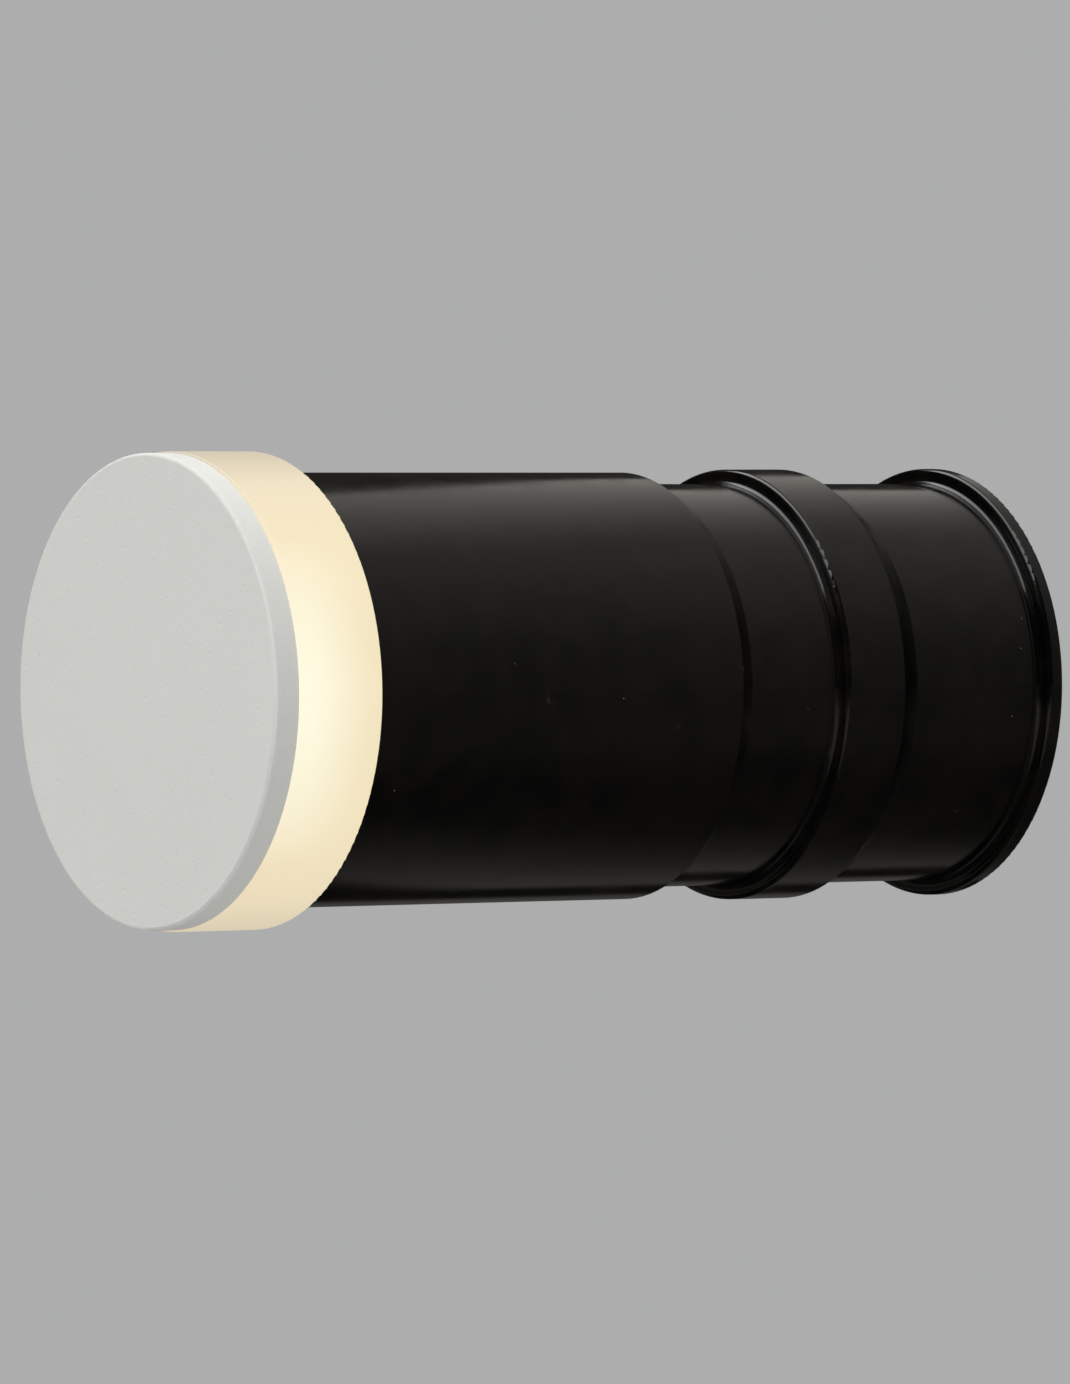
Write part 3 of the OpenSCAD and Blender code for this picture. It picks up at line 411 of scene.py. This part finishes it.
def cast_aluminium():
    finish = Finish("cast_aluminium")
    sand = finish.grain(CASTING_SAND, detail=4.0)
    patches = finish.grain(CASTING_PATCHES, detail=3.0)
    return finish.surface({
        "Base Color": finish.blend(patches, ALUMINIUM_DULL, ALUMINIUM_BRIGHT),
        "Metallic": 1.0,
        "Roughness": 0.48 + 0.12 * patches + 0.08 * sand,
        "Normal": finish.relief(sand, depth=0.00005),
    })


dress(cast_aluminium(), "heat_sink")


# The springs, the screws and the terminal tubes. The leaf springs are cut from rolled strip, with
# the rolling marks along their length. The screws are zinc plated, and the tubes are plain brass.
STEEL_DULL = (0.52, 0.53, 0.54)
STEEL_BRIGHT = (0.68, 0.69, 0.70)
ROLLING_MARKS = 0.0004
MARKS_ALONG_Y = (1, 0.06, 1)
ZINC = (0.55, 0.56, 0.57)
ZINC_WARMER = (0.66, 0.66, 0.62)
BRASS = (0.66, 0.46, 0.17)
BRASS_BRIGHTER = (0.78, 0.59, 0.27)


def rolled_steel():
    finish = Finish("rolled_spring_steel")
    marks = finish.grain(ROLLING_MARKS, stretch=MARKS_ALONG_Y)
    return finish.surface({
        "Base Color": finish.blend(marks, STEEL_DULL, STEEL_BRIGHT),
        "Metallic": 1.0,
        "Roughness": 0.22 + 0.14 * marks,
        "Normal": finish.relief(marks, depth=0.000003),
    })


def small_metal(name, colour, tint):
    finish = Finish(name)
    cloud = finish.grain(size=0.0018, detail=3.0)
    return finish.surface({
        "Base Color": finish.blend(cloud, colour, tint),
        "Metallic": 1.0,
        "Roughness": 0.24 + 0.16 * cloud,
        "Normal": finish.relief(finish.grain(size=0.0003), depth=0.000008),
    })


dress(rolled_steel(), "leaf_springs")
dress(small_metal("zinc_plate", ZINC, ZINC_WARMER), "board_screws", "cap_screws",
      "spring_screws", "housing_screws", "cover_screws", "terminal_screws", "clamp_screws")
dress(small_metal("terminal_brass", BRASS, BRASS_BRIGHTER), "terminal_tubes")


# The driver's parts: a ferrite frame with a taped coil, capacitors in shrunk sleeves and moulded
# power chips.
FERRITE_GREY = (0.030, 0.030, 0.032)
TAPE_YELLOW = (0.55, 0.33, 0.03)
TAPE_LIGHTER = (0.68, 0.45, 0.06)
CAPACITOR_BLUE_BLACK = (0.012, 0.015, 0.022)
CAPACITOR_LIGHTER = (0.02, 0.024, 0.034)
EPOXY_BLACK = (0.012, 0.012, 0.013)


def sleeved(name, colour, lighter, roughness):
    """A smooth, slightly creased plastic skin, such as tape, shrunk sleeve or insulation."""
    finish = Finish(name)
    cloud = finish.grain(size=0.006)
    return finish.surface({
        "Base Color": finish.blend(cloud, colour, lighter),
        "Roughness": roughness + 0.1 * cloud,
        "Normal": finish.relief(finish.grain(size=0.0012), depth=0.000015),
    })


dress(textured_moulding("ferrite", FERRITE_GREY, roughness=0.55,
                        grain_size=0.0003, grain_depth=0.00002), "transformer_core")
dress(sleeved("coil_tape", TAPE_YELLOW, TAPE_LIGHTER, roughness=0.22), "transformer_coil")
dress(sleeved("capacitor_sleeve", CAPACITOR_BLUE_BLACK, CAPACITOR_LIGHTER, roughness=0.22),
      "capacitors")
dress(textured_moulding("chip_epoxy", EPOXY_BLACK, roughness=0.5,
                        grain_size=0.0002, grain_depth=0.00001), "power_chips")


# The leads. Single cores in glossy insulation: red from the driver to the LED board, blue from
# the driver to the terminal block.
LEAD_RED = (0.36, 0.018, 0.014)
LEAD_RED_LIGHTER = (0.43, 0.028, 0.02)
LEAD_BLUE = (0.014, 0.06, 0.30)
LEAD_BLUE_LIGHTER = (0.02, 0.085, 0.37)

dress(sleeved("red_insulation", LEAD_RED, LEAD_RED_LIGHTER, roughness=0.26), "led_leads")
dress(sleeved("blue_insulation", LEAD_BLUE, LEAD_BLUE_LIGHTER, roughness=0.26), "supply_leads")


# The studio: a pale grey sweep that has no edge, because its paint fades into the backdrop's tone.
# Its soft shadow stays. Glossy surfaces mirror it as a dim warm ground with a few lighter patches,
# which fade before the horizon.
FLOOR_Z = -0.22
FLOOR_SIZE = 9.0
SWEEP_TONE = (0.415, 0.420, 0.418)
PAINT_TONE = (0.58, 0.58, 0.575)
PAINT_SHARE = 0.5
PAINT_REACH = (0.4, 1.6)
BLACK = (0, 0, 0)
MIRROR_TINT = (1.0, 0.955, 0.875)
MIRROR_LEAST = 0.01

# The mirrored ground's tones. A pair tells where a soft edge starts and ends, in metres.
UNDER_X = (-0.20, -0.165)
UNDER_EDGE_FACING = (0.57, 0.82)
UNDER_EDGE = (0.055, 0.08)
UNDER_LEAST, UNDER_NEAR_TONE, UNDER_RIGHT_TONE = 0.02, 0.12, 0.06
UNDER_NEAR_FACING = (0.77, 0.64)
UNDER_NEAR = (0.02, 0.19)
UNDER_RIGHT_X = (0.12, 0.45)
LEFT_TONE = 0.08
LEFT_X = (-0.42, -0.32)
PATCH_REACH = (0.9, 1.8)
FRONT_TONE = 0.35
FRONT_X = (0.10, 0.25)
FRONT_Y = (-0.15, -0.05)
BACK_TONE = 0.40
BACK_EDGE_FACING = (-0.45, 1.0)
BACK_EDGE = (0.50, 0.65)
BACK_X = (0.12, 0.30)
BACK_END_X = (0.65, 0.85)


def towards(facing, across, along):
    """How far a point of the floor lies in a direction, given by its parts along X and Y."""
    return facing[0] * across + facing[1] * along


def mirrored_ground(finish, across, along, distance):
    """What glossy surfaces mirror of the floor: the ground under the lamp and three patches."""
    near = finish.fall(towards(UNDER_NEAR_FACING, across, along), *UNDER_NEAR)
    right = finish.rise(across, *UNDER_RIGHT_X)
    under = finish.rise(across, *UNDER_X) \
        * finish.rise(towards(UNDER_EDGE_FACING, across, along), *UNDER_EDGE) \
        * (UNDER_LEAST + UNDER_NEAR_TONE * near + UNDER_RIGHT_TONE * right)
    left = LEFT_TONE * finish.fall(across, *LEFT_X)
    front = FRONT_TONE * finish.rise(across, *FRONT_X) * finish.fall(along, *FRONT_Y)
    back = BACK_TONE * finish.rise(towards(BACK_EDGE_FACING, across, along), *BACK_EDGE) \
        * finish.rise(across, *BACK_X) * finish.fall(across, *BACK_END_X)
    patches = (front + back) * finish.fall(distance, *PATCH_REACH)
    return finish.blend(MIRROR_LEAST + under + left + patches, BLACK, MIRROR_TINT)


def pale_sweep():
    finish = Finish("pale_sweep")
    across, along = finish.axis("X"), finish.axis("Y")
    distance = finish.node("ShaderNodeVectorMath", {"operation": "LENGTH"}, {0: finish.place},
                           "Value")
    seen = finish.node("ShaderNodeLightPath", output="Is Camera Ray")
    mirrored = finish.node("ShaderNodeLightPath", output="Is Glossy Ray")
    paint = finish.node("ShaderNodeBsdfDiffuse", {}, {
        "Color": finish.blend(seen, PAINT_TONE, SWEEP_TONE)})
    tone = finish.node("ShaderNodeEmission", {}, {"Color": (*SWEEP_TONE, 1)})
    mirror_tone = finish.node("ShaderNodeEmission", {}, {
        "Color": mirrored_ground(finish, across, along, distance)})
    shadowless = PAINT_SHARE * finish.rise(distance, *PAINT_REACH) + (1 - PAINT_SHARE)
    to_camera = finish.node("ShaderNodeMixShader", {}, {0: seen * shadowless, 1: paint, 2: tone})
    whole = finish.node("ShaderNodeMixShader", {}, {0: mirrored, 1: to_camera, 2: mirror_tone})
    finish.node("ShaderNodeOutputMaterial", {}, {"Surface": whole})
    return finish.material


bpy.ops.object.select_all(action="DESELECT")
bpy.ops.mesh.primitive_plane_add(size=FLOOR_SIZE, location=(0, 0, FLOOR_Z))
floor = bpy.context.object
floor.name = "floor"
floor.data.materials.append(pale_sweep())


# The backdrop: the camera sees the sweep's tone, matt surfaces get an even light from all round.
# Glossy surfaces mirror a dim warm room. It is lighter behind and to the right, more so with
# height, and has a faint glow straight behind, a light high in front and a window at the right.
AMBIENT = (0.56, 0.56, 0.56)

# The mirrored room's tones. A pair tells where a soft edge starts and ends along one part of
# the direction, which is one long.
REAR_LEAST, REAR_OVERHEAD_TONE = 0.10, 0.40
REAR_Y = (0.0, 0.45)
REAR_END_Y = (0.75, 0.95)
REAR_LEFT_SHARE = 0.15
REAR_X = (-0.50, -0.35)
BEHIND_TONE = 0.035
BEHIND_Y = (0.60, 0.90)
BEHIND_Z = (-0.02, 0.20)
BEFORE_TONE = 0.40
BEFORE_Y = (-0.85, -0.65)
BEFORE_Z = (0.35, 0.60)
WINDOW_TONE = 0.30
WINDOW_Y = (0.70, 0.80)
WINDOW_X = (0.25, 0.35)


def backdrop():
    finish = Finish("backdrop", bpy.data.worlds, "Generated")
    across, along, upward = finish.axis("X"), finish.axis("Y"), finish.axis("Z")
    seen = finish.node("ShaderNodeLightPath", output="Is Camera Ray")
    mirrored = finish.node("ShaderNodeLightPath", output="Is Glossy Ray")
    height = upward.at_least(0.0)
    rear = finish.rise(along, *REAR_Y) * finish.fall(along, *REAR_END_Y) \
        * (REAR_LEFT_SHARE + (1 - REAR_LEFT_SHARE) * finish.rise(across, *REAR_X)) \
        * (REAR_LEAST + REAR_OVERHEAD_TONE * height * height)
    behind = BEHIND_TONE * finish.rise(along, *BEHIND_Y) * finish.rise(upward, *BEHIND_Z)
    before = BEFORE_TONE * finish.fall(along, *BEFORE_Y) * finish.rise(upward, *BEFORE_Z)
    window = WINDOW_TONE * finish.rise(along, *WINDOW_Y) * finish.rise(across, *WINDOW_X)
    room = finish.blend(MIRROR_LEAST + rear + behind + before + window, BLACK, MIRROR_TINT)
    light = finish.node("ShaderNodeBackground", {}, {
        "Color": finish.blend(seen, finish.blend(mirrored, AMBIENT, room), SWEEP_TONE),
        "Strength": 1.0})
    finish.node("ShaderNodeOutputWorld", {}, {"Surface": light})
    return finish.material


bpy.context.scene.world = backdrop()


# The lamps: a long soft box overhead and a fill before the head. A graded card, which only the
# glossy surfaces see, hangs behind and above: the mirrored edge of it runs along the barrel's top.
CARD_SIZE = (1.8, 0.32)
CARD_PLACE = (-0.212, 0.528, 0.60)
CARD_TURN = math.radians(-33.2)
CARD_TONE = 0.36
CARD_FRONT_GAIN = 0.30
CARD_FADE = (-0.31, 0.38)
OVERHEAD_X, OVERHEAD_Y, OVERHEAD_Z = -0.18, -0.225, 1.0
OVERHEAD_SIZE = (2.05, 0.65)
OVERHEAD_RADIANCE = 3.0
OVERHEAD_TURN = math.radians(-24.8)
FILL_PLACE = (0.9, -1.4, 0.2)
FILL_SIZE = (1.2, 1.2)
FILL_RADIANCE = 1.35


def graded_card():
    finish = Finish("graded_card")
    tone = CARD_TONE + CARD_FRONT_GAIN * finish.fall(finish.axis("Y"), *CARD_FADE)
    glow = finish.node("ShaderNodeEmission", {}, {
        "Color": finish.blend(tone, BLACK, MIRROR_TINT)})
    finish.node("ShaderNodeOutputMaterial", {}, {"Surface": glow})
    return finish.material


bpy.ops.mesh.primitive_plane_add(size=1, location=CARD_PLACE, rotation=(0, 0, CARD_TURN))
card = bpy.context.object
card.name = "card"
card.scale = (*CARD_SIZE, 1)
card.data.materials.append(graded_card())
card.visible_camera = False
card.visible_diffuse = False
card.visible_shadow = False


def soft_box(name, place, aim, size, radiance, turn=0.0):
    """A rectangular lamp of that radiance, white at 1, facing the point aim."""
    light = bpy.data.lights.new(name, "AREA")
    light.shape = "RECTANGLE"
    light.size, light.size_y = size
    light.energy = radiance * math.pi * light.size * light.size_y
    lamp = bpy.data.objects.new(name, light)
    bpy.context.collection.objects.link(lamp)
    lamp.location = place
    facing = (Vector(place) - Vector(aim)).to_track_quat("Z", "Y")
    lamp.rotation_euler = (facing @ Quaternion((0, 0, 1), turn)).to_euler()
    lamp.visible_camera = False
    return lamp


soft_box("overhead", (OVERHEAD_X, OVERHEAD_Y, OVERHEAD_Z), (OVERHEAD_X, OVERHEAD_Y, 0),
         OVERHEAD_SIZE, OVERHEAD_RADIANCE, OVERHEAD_TURN)
fill = soft_box("fill", FILL_PLACE, (0, 0, 0), FILL_SIZE, FILL_RADIANCE)
fill.visible_glossy = False


# Colours come out as they are written.
bpy.context.scene.view_settings.view_transform = "Standard"

bpy.context.view_layer.update()
